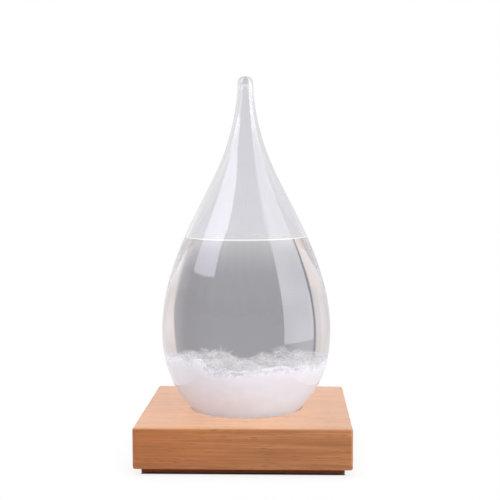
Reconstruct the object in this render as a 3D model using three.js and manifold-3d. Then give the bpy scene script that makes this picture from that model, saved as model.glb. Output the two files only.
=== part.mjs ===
// Storm glass: a sealed, drop-shaped glass vessel holding a camphor solution and its
// crystals, standing loose in a round socket turned into a square beech base.
// Millimetres, +Z up, front towards -Y. The origin is the centre of the table plane
// under the base.
import * as THREE from "three";
import { mergeVertices } from "three/addons/utils/BufferGeometryUtils.js";
import Module from "manifold-3d";

const wasm = await Module();
wasm.setup();

// ---------------------------------------------------------------- driving dimensions
const FOOT_R = 7.0; // self-adhesive felt dot
const FOOT_T = 0.8;
const FOOT_PITCH = 84.0; // centre to centre, both ways

const PLATE_W = 111.6; // shadow-gap plate glued under the block
const PLATE_T = 2.8;
const PLATE_CORNER_R = 1.2;

const BLOCK_W = 120.0; // square beech block
const BLOCK_T = 22.5;
const BLOCK_CORNER_R = 1.6;
const BLOCK_EDGE = 1.0; // eased long edges
const CORNER_SEGMENTS = 4;

const SOCKET_R = 33.6; // round seat for the glass
const SOCKET_DEPTH = 13.5;
const SOCKET_OVERCUT = 5.0; // the socket cutter's reach above the block
const PAD_R = 30.0; // loose soft disc on the socket floor
const PAD_T = 1.2;

const GLASS_H_ABOVE = 195.5; // tip above the block's top face
const GLASS_SUNK = SOCKET_DEPTH - PAD_T; // flat foot of the drop below the top face
const SEAL_H = 4.0; // flame-rounded pip that closes the fill bore
const RIM_R = 4.62; // outside of the neck's rim
const RIM_H = GLASS_H_ABOVE - SEAL_H; // rim above the top face
const BORE_R = 2.4; // fill bore in the neck

const LIQUID_TOP = 100.8; // level of the solution above the block's top face
const BED_TOP = 30.0; // mean level of the settled crystals above the block's top face
const GAP = 0.3; // clearance round the contents

// Facets round each kind of turned piece.
const AROUND_VESSEL = 40; // the vessel, the bed and the solution
const AROUND_SEAT = 64; // the socket and its pad
const AROUND_SMALL = 32; // the feet and the pip

const Z_PLATE = FOOT_T;
const Z_BLOCK = Z_PLATE + PLATE_T;
const Z_TOP = Z_BLOCK + BLOCK_T; // the block's top face
const Z_SOCKET = Z_TOP - SOCKET_DEPTH; // the socket's floor
const Z_RIM = Z_TOP + RIM_H;
const Z_BED = Z_TOP + BED_TOP;
const Z_LEVEL = Z_TOP + LIQUID_TOP;

// Outside of the glass, foot to rim: [radius, height above the block's top face].
const OUTER = [
  [0, -GLASS_SUNK], [9.0, -GLASS_SUNK], [13.2, -12.05], [17.0, -10.95], [21.2, -9.0],
  [26.0, -6.0], [29.8, -3.0], [33.0, 0.0], [38.0, 6.0], [41.9, 12.0], [45.7, 20.4],
  [48.7, 31.2], [49.9, 43.5], [49.45, 55.2], [47.7, 67.2], [44.6, 79.2], [40.5, 91.2],
  [35.4, 103.2], [29.6, 115.2], [23.5, 127.2], [17.5, 139.2], [12.5, 151.2],
  [8.75, 163.2], [6.4, 174.0], [5.25, 182.5], [4.75, 190.0], [RIM_R, RIM_H],
];
// The same for the inside wall, which leaves 2 mm of glass round the belly.
const INNER = [
  [0, -10.0], [6.5, -9.5], [13.0, -8.0], [20.2, -5.0], [27.8, 0.0], [34.1, 6.0],
  [38.8, 12.0], [43.2, 20.4], [46.6, 31.2], [47.9, 43.5], [47.45, 55.2], [45.7, 67.2],
  [42.6, 79.2], [38.4, 91.2], [33.3, 103.2], [27.5, 115.2], [21.4, 127.2],
  [15.5, 139.2], [10.5, 151.2], [6.75, 163.2], [4.4, 174.0], [3.1, 182.5],
  [BORE_R, 187.0], [BORE_R, RIM_H],
];

// ---------------------------------------------------------------- materials
const finish = (settings) => new THREE.MeshStandardMaterial({ metalness: 0, ...settings });
const glass = finish({ color: 0xf2f5f6, roughness: 0.03, transparent: true, opacity: 0.25 });
const solution = finish({ color: 0xdfe2e6, roughness: 0.05, transparent: true, opacity: 0.3 });
const crystal = finish({ color: 0xeee9ec, roughness: 0.75 });
const beech = finish({ color: 0xc98f62, roughness: 0.5 });
const felt = finish({ color: 0x3a332d, roughness: 0.95 });
const cork = finish({ color: 0xb08a5c, roughness: 0.9 });

// ---------------------------------------------------------------- helpers
// A closed three.js geometry as a solid, turned the right way out.
function solid(geometry) {
  const flat = geometry.index ? geometry.toNonIndexed() : geometry;
  const bare = new THREE.BufferGeometry();
  bare.setAttribute("position", flat.getAttribute("position"));
  const merged = mergeVertices(bare, 1e-4);
  const index = merged.index.array;
  const corners = [];
  for (let i = 0; i < index.length; i += 3) {
    const [first, second, third] = index.slice(i, i + 3);
    // merging leaves collapsed triangles where a profile meets the axis
    if (first !== second && second !== third && first !== third) {
      corners.push(first, second, third);
    }
  }
  const build = () =>
    new wasm.Manifold(
      new wasm.Mesh({
        numProp: 3,
        vertProperties: merged.attributes.position.array,
        triVerts: new Uint32Array(corners),
      }),
    );
  const built = build();
  if (built.volume() > 0) return built;
  for (let i = 0; i < corners.length; i += 3) {
    [corners[i + 1], corners[i + 2]] = [corners[i + 2], corners[i + 1]];
  }
  return build();
}

function geometryOf(body) {
  const { numProp, numVert, vertProperties, triVerts } = body.getMesh();
  const positions = new Float32Array(numVert * 3);
  for (let i = 0; i < numVert; i++) {
    positions.set(vertProperties.subarray(i * numProp, i * numProp + 3), i * 3);
  }
  const geometry = new THREE.BufferGeometry();
  geometry.setAttribute("position", new THREE.BufferAttribute(positions, 3));
  geometry.setIndex(new THREE.BufferAttribute(new Uint32Array(triVerts), 1));
  geometry.computeVertexNormals();
  return geometry;
}

function add(group, name, body, material) {
  const mesh = new THREE.Mesh(geometryOf(body), material);
  mesh.name = name;
  group.add(mesh);
  return mesh;
}

function largestPart(body) {
  return body.decompose().sort((one, other) => other.volume() - one.volume())[0];
}

// A profile of [radius, height] turned about +Z.
function turned(profile, around = AROUND_VESSEL) {
  const points = profile.map(([radius, z]) => new THREE.Vector2(radius, z));
  return new THREE.LatheGeometry(points, around).rotateX(Math.PI / 2);
}

function disc(radius, bottom, top, around) {
  return solid(turned([[0, bottom], [radius, bottom], [radius, top], [0, top]], around));
}

// The profile's radius at a height.
function radiusAt(profile, z) {
  for (let i = 1; i < profile.length; i++) {
    const [r0, z0] = profile[i - 1];
    const [r1, z1] = profile[i];
    if (z0 <= z && z <= z1) return r0 + ((r1 - r0) * (z - z0)) / (z1 - z0);
  }
  throw new Error("height outside the profile");
}

// A seeded source of numbers from 0 to 1.
function randomFrom(seed) {
  let state = seed >>> 0;
  return () => {
    state = (state + 0x6d2b79f5) >>> 0;
    let mixed = state;
    mixed = Math.imul(mixed ^ (mixed >>> 15), mixed | 1);
    mixed ^= mixed + Math.imul(mixed ^ (mixed >>> 7), mixed | 61);
    return ((mixed ^ (mixed >>> 14)) >>> 0) / 4294967296;
  };
}

// ---------------------------------------------------------------- base
function roundedSquare(width, radius) {
  const half = width / 2;
  const inset = half - radius; // distance of the corner centres from the axes
  const shape = new THREE.Shape();
  shape.moveTo(-inset, -half);
  shape.lineTo(inset, -half);
  shape.absarc(inset, -inset, radius, -Math.PI / 2, 0, false);
  shape.lineTo(half, inset);
  shape.absarc(inset, inset, radius, 0, Math.PI / 2, false);
  shape.lineTo(-inset, half);
  shape.absarc(-inset, inset, radius, Math.PI / 2, Math.PI, false);
  shape.lineTo(-half, -inset);
  shape.absarc(-inset, -inset, radius, Math.PI, 1.5 * Math.PI, false);
  return shape;
}

// The block: long edges eased all round, with the socket bored in from the top.
function block() {
  const blank = new THREE.ExtrudeGeometry(roundedSquare(BLOCK_W, BLOCK_CORNER_R), {
    depth: BLOCK_T - 2 * BLOCK_EDGE,
    bevelEnabled: true,
    bevelThickness: BLOCK_EDGE,
    bevelSize: BLOCK_EDGE,
    bevelOffset: -BLOCK_EDGE,
    bevelSegments: 3,
    curveSegments: CORNER_SEGMENTS,
  });
  blank.translate(0, 0, Z_BLOCK + BLOCK_EDGE);
  const socket = disc(SOCKET_R, Z_SOCKET, Z_TOP + SOCKET_OVERCUT, AROUND_SEAT);
  return solid(blank).subtract(socket);
}

// The plate that lifts the block and makes the dark shadow gap.
function plate() {
  const slab = new THREE.ExtrudeGeometry(roundedSquare(PLATE_W, PLATE_CORNER_R), {
    depth: PLATE_T,
    bevelEnabled: false,
    curveSegments: CORNER_SEGMENTS,
  });
  return solid(slab.translate(0, 0, Z_PLATE));
}

function addFeet(group) {
  const dot = disc(FOOT_R, 0, FOOT_T, AROUND_SMALL);
  for (const [row, ySide] of [["front", -1], ["back", 1]]) {
    for (const [column, xSide] of [["left", -1], ["right", 1]]) {
      const foot = add(group, `foot_pad_${row}_${column}`, dot, felt);
      foot.position.set((xSide * FOOT_PITCH) / 2, (ySide * FOOT_PITCH) / 2, 0);
    }
  }
}

// ---------------------------------------------------------------- glass
const raised = (profile) => profile.map(([radius, z]) => [radius, z + Z_TOP]);
const innerWall = raised(INNER);

// The blown vessel: outside up to the neck's rim, then back down the bore and inside wall.
function vessel() {
  return solid(turned([...raised(OUTER), ...[...innerWall].reverse()]));
}

// The pip: a flame-rounded bead with a short stem that goes down into the bore.
function tipSeal() {
  const stemR = 2.2;
  const stemEnd = Z_RIM - 4.0;
  const chamferR = 0.5; // narrowing at the stem's lower end
  const chamferH = 0.6;
  const beadSteps = 7;
  const beadPower = 0.75; // below 1 makes the bead fuller than an ellipse
  const profile = [
    [0, stemEnd],
    [stemR - chamferR, stemEnd],
    [stemR, stemEnd + chamferH],
    [stemR, Z_RIM],
    [RIM_R, Z_RIM],
  ];
  for (let i = 1; i < beadSteps; i++) {
    const angle = (i / beadSteps) * (Math.PI / 2);
    profile.push([
      RIM_R * Math.pow(Math.cos(angle), beadPower),
      Z_RIM + SEAL_H * Math.sin(angle),
    ]);
  }
  profile.push([0, Z_RIM + SEAL_H]);
  return solid(turned(profile, AROUND_SMALL));
}

// ---------------------------------------------------------------- crystal bed
// The contents' wall: each point of the inside wall moved square to it, into the cavity,
// so that the clearance is the same everywhere.
const lining = innerWall.map(([radius, z], i) => {
  if (i === 0) return [0, z + GAP]; // the lowest point stays on the axis
  const before = innerWall[i - 1];
  const after = innerWall[Math.min(i + 1, innerWall.length - 1)];
  const alongR = after[0] - before[0];
  const alongZ = after[1] - before[1];
  const length = Math.hypot(alongR, alongZ);
  return [radius - (alongZ / length) * GAP, z + (alongR / length) * GAP];
});

const BED_R = radiusAt(lining, Z_BED);
const BED_RINGS = 6; // rings of facets in the bed's skin
const WALL_MARGIN = 0.5; // lining points nearer than this to an end level are left out

// Height of the bed's lumps over its mean level, dying away to nothing at the wall.
function lumps(x, y) {
  const share = Math.min(1, Math.hypot(x, y) / BED_R);
  const fade = 1 - share * share * share * share;
  // each wave: height in mm, then radians per mm and phase
  const swell = 1.3 * Math.sin(0.13 * x + 0.9) * Math.cos(0.11 * y - 0.4);
  const ripple = 0.8 * Math.sin(0.27 * x - 0.17 * y + 2.1);
  const crossRipple = 0.6 * Math.cos(0.21 * x + 0.33 * y + 0.6);
  return fade * (swell + ripple + crossRipple);
}

// A wall profile closed by the bed's lumpy skin at mean height skinZ.
function underSkin(wall, skinZ) {
  const skin = [];
  for (let i = BED_RINGS; i >= 0; i--) skin.push([(BED_R * i) / BED_RINGS, skinZ]);
  const geometry = turned([...wall, ...skin]);
  const places = geometry.attributes.position;
  for (let i = 0; i < places.count; i++) {
    const z = places.getZ(i);
    if (Math.abs(z - skinZ) < 1e-3) places.setZ(i, z + lumps(places.getX(i), places.getY(i)));
  }
  return solid(geometry);
}

function crystalBed() {
  return underSkin(lining.filter(([, z]) => z < Z_BED - WALL_MARGIN), Z_BED);
}

// The cutter has the bed's own facets, lifted by the clearance and carried out past the wall.
function bedCutter() {
  const bottom = Z_BED - 20;
  const radius = BED_R * 1.3;
  const skinZ = Z_BED + GAP;
  return underSkin([[0, bottom], [radius, bottom], [radius, skinZ]], skinZ);
}

// ---------------------------------------------------------------- crystal tufts
// Rings of loose fern-like clusters on the bed; reach is a share of the bed's radius.
const TUFT_RINGS = [
  { count: 7, reach: 0.7, phase: 0.2 },
  { count: 2, reach: 0.24, phase: 0.75 },
];
const TUFT_JITTER = 0.25; // whole range of the random angle
const TUFT_LIFT = 1.4; // egg's centre above the bed
const TUFT_FILL = 0.9; // share of its egg that a cluster may fill

const BLADES = 6; // blades in each cluster
const BLADE = {
  tipR: 0.3,
  rootR: 1.2,
  length: 9.5,
  sides: 5,
  centre: 4.2, // middle of the blade beyond the cluster's root
  flatten: 0.5, // thickness as a share of width
  minTilt: 0.25, // lean from upright, radians
  tiltRange: 1.05,
  spinRange: 0.5, // random turn about +Z, radians
};
const HUB = { radius: 2.8, stretch: [1.2, 1.1, 0.75], drop: 0.4 };

const random = randomFrom(20417);

function blade(i, x, y, z) {
  const { tipR, rootR, length, sides } = BLADE;
  const geometry = new THREE.CylinderGeometry(tipR, rootR, length, sides, 1);
  geometry.translate(0, BLADE.centre, 0);
  geometry.scale(1, 1, BLADE.flatten);
  geometry.rotateX(Math.PI / 2);
  // the first blade takes the least tilt and draws no random number for it
  geometry.rotateX(-(BLADE.minTilt + BLADE.tiltRange * (i === 0 ? 0 : random())));
  geometry.rotateZ((i / BLADES) * 2 * Math.PI + random() * BLADE.spinRange);
  return solid(geometry.translate(x, y, z));
}

// One cluster at an angle round its ring: slim blades fanning out of a faceted hub,
// trimmed to an egg-shaped space and to the bed. The full egg is its room in the solution.
function tuft(angle, reach, cutter) {
  const x = BED_R * reach * Math.cos(angle);
  const y = BED_R * reach * Math.sin(angle);
  const z = Z_BED + lumps(x, y) + TUFT_LIFT;
  const radiusX = 7.0 + random() * 1.6;
  const radiusY = 6.2 + random() * 1.4;
  const radiusZ = 4.6 + random() * 2.0;
  const turn = random() * Math.PI;
  const egg = (share) => {
    const geometry = new THREE.SphereGeometry(1, 9, 6);
    geometry.rotateX(Math.PI / 2);
    geometry.scale(radiusX * share, radiusY * share, radiusZ * share);
    geometry.rotateZ(turn);
    return solid(geometry.translate(x, y, z));
  };
  const parts = [];
  for (let i = 0; i < BLADES; i++) parts.push(blade(i, x, y, z - TUFT_LIFT));
  const hub = new THREE.IcosahedronGeometry(HUB.radius, 0);
  hub.scale(...HUB.stretch);
  parts.push(solid(hub.translate(x, y, z - HUB.drop)));
  const cluster = parts.reduce((joined, part) => joined.add(part));
  const body = largestPart(cluster.intersect(egg(TUFT_FILL)).subtract(cutter));
  return { body, room: egg(1) };
}

function makeTufts(cutter) {
  const tufts = [];
  for (const { count, reach, phase } of TUFT_RINGS) {
    for (let i = 0; i < count; i++) {
      const angle = (i / count) * 2 * Math.PI + phase + (random() - 0.5) * TUFT_JITTER;
      tufts.push(tuft(angle, reach, cutter));
    }
  }
  return tufts;
}

// ---------------------------------------------------------------- solution
const MENISCUS_RISE = 1.0; // height of the surface's edge above its level
// The rest of the meniscus: [distance in from the wall, height above the level].
const MENISCUS = [[0.8, 0.35], [2.4, 0]];

// From the bed's skin up to a level surface with a small meniscus, with room round each tuft.
function stormLiquid(cutter, rooms) {
  const floor = Z_BED - 4; // below the bed's skin, for the cutter to trim
  const edge = Z_LEVEL + MENISCUS_RISE;
  const levelR = radiusAt(lining, Z_LEVEL);
  const profile = [
    [0, floor],
    [radiusAt(lining, floor), floor],
    ...lining.filter(([, z]) => z > floor + WALL_MARGIN && z < Z_LEVEL - 1),
    [radiusAt(lining, edge), edge],
    ...MENISCUS.map(([inset, rise]) => [levelR - inset, Z_LEVEL + rise]),
    [levelR * 0.5, Z_LEVEL],
    [0, Z_LEVEL],
  ];
  let liquid = solid(turned(profile)).subtract(cutter);
  for (const room of rooms) liquid = liquid.subtract(room);
  return largestPart(liquid);
}

// ---------------------------------------------------------------- assembly
const root = new THREE.Group();
root.name = "storm_glass";

const base = new THREE.Group();
root.add(base);
add(base, "base_block", block(), beech);
add(base, "base_plate", plate(), beech);
addFeet(base);

// The pad turns with the drop and stays behind when the drop lifts out.
add(root, "seat_pad", disc(PAD_R, Z_SOCKET, Z_SOCKET + PAD_T, AROUND_SEAT), cork);

const drop = new THREE.Group();
root.add(drop);
add(drop, "glass_drop", vessel(), glass);
add(drop, "tip_seal", tipSeal(), glass);
add(drop, "crystal_bed", crystalBed(), crystal);

const cutter = bedCutter();
const tufts = makeTufts(cutter);
const tuftGroup = new THREE.Group();
drop.add(tuftGroup);
tufts.forEach(({ body }, i) => {
  add(tuftGroup, `crystal_tuft_${String(i + 1).padStart(2, "0")}`, body, crystal);
});
add(drop, "storm_liquid", stormLiquid(cutter, tufts.map(({ room }) => room)), solution);

export default root;
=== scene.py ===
"""Storm glass: a sealed glass drop of solution and crystals standing in a square beech base.

Metres, +Z up, the drop's axis on Z. The front faces -Y and the right side +X. Profiles and
crystals are worked out in mm, with heights measured from the top face of the block.
"""
import math
import random

import bpy
import numpy as np
from mathutils import Matrix, Vector, noise


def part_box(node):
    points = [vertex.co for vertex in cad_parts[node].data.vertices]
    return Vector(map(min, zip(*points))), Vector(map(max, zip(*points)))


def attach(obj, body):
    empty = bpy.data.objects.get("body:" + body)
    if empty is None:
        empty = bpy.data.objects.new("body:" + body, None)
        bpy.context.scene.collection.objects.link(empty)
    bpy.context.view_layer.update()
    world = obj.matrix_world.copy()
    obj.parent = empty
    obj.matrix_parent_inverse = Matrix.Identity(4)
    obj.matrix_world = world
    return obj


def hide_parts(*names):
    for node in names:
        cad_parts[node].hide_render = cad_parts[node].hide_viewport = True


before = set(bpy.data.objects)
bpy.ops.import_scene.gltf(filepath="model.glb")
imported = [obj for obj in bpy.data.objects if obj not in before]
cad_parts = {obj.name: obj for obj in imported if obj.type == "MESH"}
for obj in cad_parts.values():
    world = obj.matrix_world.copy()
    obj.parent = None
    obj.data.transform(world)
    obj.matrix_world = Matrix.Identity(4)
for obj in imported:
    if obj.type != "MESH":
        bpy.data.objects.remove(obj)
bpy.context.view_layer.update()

scene = bpy.context.scene

# ------------------------------------------------------------------ dimensions
MM = 0.001
Z_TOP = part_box("base_block")[1].z     # top face of the block, m
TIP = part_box("tip_seal")[1].z         # highest point of the glass, m

# The blown drop, (radius, height) in mm. The axis points at the ends are added below.
OUTER = [
    (9.0, -12.3), (13.2, -12.05), (17.0, -10.95), (21.2, -9.0), (26.0, -6.0), (29.8, -3.0),
    (33.0, 0.0), (38.0, 6.0), (41.9, 12.0), (45.7, 20.4), (48.7, 31.2), (49.9, 43.5),
    (49.45, 55.2), (47.7, 67.2), (44.6, 79.2), (40.5, 91.2), (35.4, 103.2), (29.6, 115.2),
    (23.5, 127.2), (17.5, 139.2), (12.5, 151.2), (8.75, 163.2), (6.4, 174.0), (5.25, 182.5),
    (4.75, 189.0), (4.5, 192.0), (3.75, 194.1), (2.1, 195.25),
]
INNER = [
    (6.5, -9.5), (13.0, -8.0), (20.2, -5.0), (27.8, 0.0), (34.1, 6.0), (38.8, 12.0),
    (43.2, 20.4), (46.6, 31.2), (47.9, 43.5), (47.45, 55.2), (45.7, 67.2), (42.6, 79.2),
    (38.4, 91.2), (33.3, 103.2), (27.5, 115.2), (21.4, 127.2), (15.5, 139.2), (10.5, 151.2),
    (6.75, 163.2), (4.4, 174.0), (3.1, 182.5), (2.4, 187.5), (1.5, 190.2),
]
PROFILE_STEP = 1.2      # spacing of the points along a profile
AROUND = 224            # segments round the glass and the solution

LEVEL = 100.1           # surface of the solution
CREEP = 1.0             # how far its rim climbs the wall
MENISCUS_REACH = 7.0    # from the wall in to the level surface
MENISCUS_FALL = 0.8     # distance over which the climb dies away
MENISCUS_STEPS, SURFACE_STEPS = 32, 8

BED = 27.0              # mean level of the settled crystals
BED_LOW = BED - 11.0    # from here up the bed's side is roughened
BED_AROUND, BED_SIDE, BED_TOP = 200, 16, 48     # segments round, up the side, over the top

N_GLASS, N_LIQUID = 1.474, 1.362                # refractive indices

SOCKET_R, SOCKET_DEPTH, SOCKET_EASE = 33.25, 13.5, 0.2


# ------------------------------------------------------------------ mesh helpers
def link_object(name, data):
    obj = bpy.data.objects.new(name, data)
    scene.collection.objects.link(obj)
    return obj


def new_mesh(name, verts, faces, *materials):
    mesh = bpy.data.meshes.new(name)
    mesh.from_pydata(verts, [], faces)
    mesh.validate()
    mesh.update()
    mesh.shade_smooth()
    for material in materials:
        mesh.materials.append(material)
    return link_object(name, mesh)


def register(piece, slot, body, *cad_names):
    """Hide the CAD solids a piece stands for and hang it on the body it moves with; slot, its
    finish, is not used.
    """
    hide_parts(*cad_names)
    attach(piece, body)


def spline(points, step):
    """Centripetal Catmull-Rom curve through (radius, height) points, about step apart."""
    def across(start, end, t_start, t_end, t):
        span = t_end - t_start
        return (t_end - t) / span * start + (t - t_start) / span * end

    knots = [np.array(point, float) for point in points]
    knots = [2 * knots[0] - knots[1]] + knots + [2 * knots[-1] - knots[-2]]
    curve = []
    for p0, p1, p2, p3 in zip(knots, knots[1:], knots[2:], knots[3:]):
        t0 = 0.0
        t1 = t0 + max(np.linalg.norm(p1 - p0), 1e-6) ** 0.5
        t2 = t1 + max(np.linalg.norm(p2 - p1), 1e-6) ** 0.5
        t3 = t2 + max(np.linalg.norm(p3 - p2), 1e-6) ** 0.5
        count = max(1, int(math.ceil(np.linalg.norm(p2 - p1) / step)))
        for k in range(count):
            t = t1 + (t2 - t1) * k / count
            a1 = across(p0, p1, t0, t1, t)
            a2 = across(p1, p2, t1, t2, t)
            a3 = across(p2, p3, t2, t3, t)
            b1 = across(a1, a2, t0, t2, t)
            b2 = across(a2, a3, t1, t3, t)
            curve.append(across(b1, b2, t1, t2, t))
    curve.append(knots[-2])
    return [(max(float(r), 0.0), float(z)) for r, z in curve]


def add_rings(verts, profile, around, zero=Z_TOP, unit=MM):
    """Add a ring of vertices for each (radius, height); return the rows of their numbers."""
    rows = []
    for r, z in profile:
        count = 1 if r < 1e-6 else around
        rows.append(list(range(len(verts), len(verts) + count)))
        if count == 1:
            verts.append((0.0, 0.0, zero + z * unit))
            continue
        for k in range(around):
            angle = 2 * math.pi * k / around
            x, y = r * unit * math.cos(angle), r * unit * math.sin(angle)
            verts.append((x, y, zero + z * unit))
    return rows


def stitch(rows, around):
    """Faces between neighbouring rows of vertex numbers; a row of one is a pole."""
    faces = []
    for low, high in zip(rows, rows[1:]):
        for k in range(around):
            j = (k + 1) % around
            if len(low) == 1:
                faces.append((low[0], high[j], high[k]))
            elif len(high) == 1:
                faces.append((low[k], low[j], high[0]))
            else:
                faces.append((low[k], low[j], high[j], high[k]))
    return faces


def turned(profile, around, verts=None, **frame_of):
    """A profile turned about Z. Its faces look outwards where it climbs."""
    verts = [] if verts is None else verts
    rows = add_rings(verts, profile, around, **frame_of)
    return verts, stitch(rows, around)


def inside_out(faces):
    return [(face[0], *reversed(face[1:])) for face in faces]


def offset_profile(points, distance):
    """The profile moved square to itself, towards the axis."""
    moved = []
    for i, (r, z) in enumerate(points):
        before, after = points[max(i - 1, 0)], points[min(i + 1, len(points) - 1)]
        along_r, along_z = after[0] - before[0], after[1] - before[1]
        length = math.hypot(along_r, along_z) or 1.0
        moved.append((max(0.0, r - along_z / length * distance),
                      z + along_r / length * distance))
    return moved


def radius_at(profile, height):
    for (r0, z0), (r1, z1) in zip(profile, profile[1:]):
        if z0 <= height <= z1:
            return r0 + (r1 - r0) * (height - z0) / max(z1 - z0, 1e-9)
    raise ValueError(height)


def wave(*place):
    """Smooth random value at a place."""
    return noise.noise(Vector(place))


# ------------------------------------------------------------------ node helpers
def rgba(colour):
    """Linear colour from an RGB tuple or a grey."""
    return (*colour, 1.0) if isinstance(colour, tuple) else (colour, colour, colour, 1.0)


def shaded(colour, factor):
    return tuple(factor * c for c in colour)


class Net:
    """Short calls that add nodes to a material or world; most return an output socket."""

    def __init__(self, owner):
        owner.use_nodes = True
        owner.node_tree.nodes.clear()
        self.owner = owner
        self.tree = owner.node_tree

    def put(self, socket, value):
        """Link another socket, or set a plain value."""
        if isinstance(value, bpy.types.NodeSocket):
            self.tree.links.new(value, socket)
        else:
            socket.default_value = rgba(value) if socket.type == "RGBA" else value

    def add(self, kind, inputs=None, **settings):
        node = self.tree.nodes.new("ShaderNode" + kind)
        for key, value in settings.items():
            setattr(node, key, value)
        for key, value in (inputs or {}).items():
            self.put(node.inputs[key], value)
        return node

    def coords(self):
        return self.add("TexCoord").outputs["Object"]

    def mapping(self, vector, scale, rotation=(0, 0, 0)):
        inputs = {"Vector": vector, "Scale": scale, "Rotation": rotation}
        return self.add("Mapping", inputs).outputs[0]

    def noise(self, vector, scale=1.0, detail=2.0, rough=0.5, distort=0.0, stretch=None,
              out="Fac"):
        if stretch:
            vector = self.mapping(vector, stretch)
        inputs = {"Vector": vector, "Scale": scale, "Detail": detail,
                  "Roughness": rough, "Distortion": distort}
        return self.add("TexNoise", inputs).outputs[out]

    def voronoi(self, vector, scale, feature="F1", out="Distance"):
        inputs = {"Vector": vector, "Scale": scale}
        return self.add("TexVoronoi", inputs, feature=feature).outputs[out]

    def math(self, operation, a, b=0.0, clamp=False):
        inputs = {0: a, 1: b, 2: 0.0}
        return self.add("Math", inputs, operation=operation, use_clamp=clamp).outputs[0]

    def times(self, a, b):
        return self.math("MULTIPLY", a, b)

    def plus(self, a, b):
        return self.math("ADD", a, b)

    def minus(self, a, b):
        return self.math("SUBTRACT", a, b)

    def vmath(self, operation, a, b=(0, 0, 0)):
        node = self.add("VectorMath", {0: a, 1: b}, operation=operation)
        return node.outputs["Value" if operation in ("LENGTH", "DOT_PRODUCT") else "Vector"]

    def scaled(self, vector, factor):
        inputs = {0: vector, "Scale": factor}
        return self.add("VectorMath", inputs, operation="SCALE").outputs["Vector"]

    def split(self, vector):
        return self.add("SeparateXYZ", {0: vector}).outputs

    def join(self, x, y, z):
        return self.add("CombineXYZ", {0: x, 1: y, 2: z}).outputs[0]

    def remap(self, value, span, to=(0.0, 1.0), smooth=False):
        """value taken from one span to another and held at the ends."""
        node = self.add("MapRange", interpolation_type="SMOOTHSTEP" if smooth else "LINEAR")
        node.clamp = True
        for socket, number in zip(node.inputs, (value, *span, *to)):
            self.put(socket, number)
        return node.outputs[0]

    def ramp(self, value, stops):
        """A colour from (position, colour) stops."""
        node = self.add("ValToRGB", {0: value})
        elements = node.color_ramp.elements
        while len(elements) < len(stops):
            elements.new(0.5)
        for element, (position, colour) in zip(elements, stops):
            element.position = position
            element.color = rgba(colour)
        return node.outputs[0]

    def curve(self, value, stops):
        """A number from (position, number) stops."""
        return self.split(self.ramp(value, stops))[0]

    def mix(self, factor, a, b, blend="MIX"):
        inputs = {0: factor, 6: a, 7: b}
        return self.add("Mix", inputs, data_type="RGBA", blend_type=blend).outputs[2]

    def tint(self, a, b):
        """Two colours multiplied."""
        return self.mix(1.0, a, b, blend="MULTIPLY")

    def number_mix(self, factor, a, b):
        return self.add("Mix", {0: factor, 2: a, 3: b}, data_type="FLOAT").outputs[0]

    def bump(self, height, strength, distance):
        inputs = {"Height": height, "Strength": strength, "Distance": distance}
        return self.add("Bump", inputs).outputs[0]

    def shader(self, kind, **inputs):
        inputs = {key.replace("_", " "): value for key, value in inputs.items()}
        return self.add(kind, inputs).outputs[0]

    def principled(self, **inputs):
        return self.shader("BsdfPrincipled", **inputs)

    def transparent(self):
        return self.shader("BsdfTransparent")

    def shade_mix(self, factor, a, b):
        return self.add("MixShader", {0: factor, 1: a, 2: b}).outputs[0]

    def pass_light(self, path, surface):
        """Lamps and soft bounce light go straight through the surface."""
        outs = path.outputs
        through = self.math("MAXIMUM", outs["Is Shadow Ray"], outs["Is Diffuse Ray"])
        return self.shade_mix(through, surface, self.transparent())

    def finish(self, surface, is_lamp=True):
        """Link the surface; is_lamp=False keeps its glow out of the lamp sampling."""
        self.add("OutputMaterial", {"Surface": surface})
        if not is_lamp:
            self.owner.cycles.emission_sampling = "NONE"
        return self.owner


def material_net(name):
    return Net(bpy.data.materials.new(name))


# ------------------------------------------------------------------ glass and solution
def clear_material(name, ior, ripple=0.0, smear=0.0):
    """Clear glass or liquid; smear and ripple are for the outside of the blown glass."""
    net = material_net(name)
    place = net.coords()
    streak = net.noise(place, scale=55, detail=3, rough=0.55, stretch=(1, 1, 0.35))
    film = net.noise(place, scale=240, rough=0.6)
    rough = net.remap(film, (0.45, 0.8), to=(0.0, smear))
    colour = net.mix(streak, 0.985, 1.0)
    extra = {}
    if smear:
        height = net.split(place)[2]
        # rougher up the drawn neck, and again at the melted tip
        neck = net.remap(height, (TIP - 0.045, TIP - 0.022), to=(0.0, 0.055))
        melted = net.remap(height, (TIP - 0.011, TIP - 0.004), to=(0.0, 0.10))
        rough = net.math("MAXIMUM", rough, net.plus(neck, melted))
        # painted shade: the thick pip is painted greyer, standing in for the darker room seen
        # through it
        pip_painted_shade = net.remap(height, (TIP - 0.0065, TIP - 0.0025))
        colour = net.mix(pip_painted_shade, colour, (0.80, 0.815, 0.805))
    if ripple:
        swell = net.noise(place, scale=34, detail=1.5, rough=0.4, stretch=(1, 1, 0.5))
        extra["Normal"] = net.bump(swell, strength=ripple, distance=0.0012)
    body = net.principled(
        Base_Color=colour, Roughness=rough, IOR=ior, Transmission_Weight=1.0, **extra)
    path = net.add("LightPath")
    look = net.pass_light(path, body)
    # a ray caught in the thick tip ends in a painted glow of the studio's mean tone
    painted_studio_glow = net.shader("Emission", Color=(0.60, 0.595, 0.61))
    caught = net.math("GREATER_THAN", path.outputs["Ray Depth"], 14.5)
    return net.finish(net.shade_mix(caught, look, painted_studio_glow), is_lamp=False)


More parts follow.
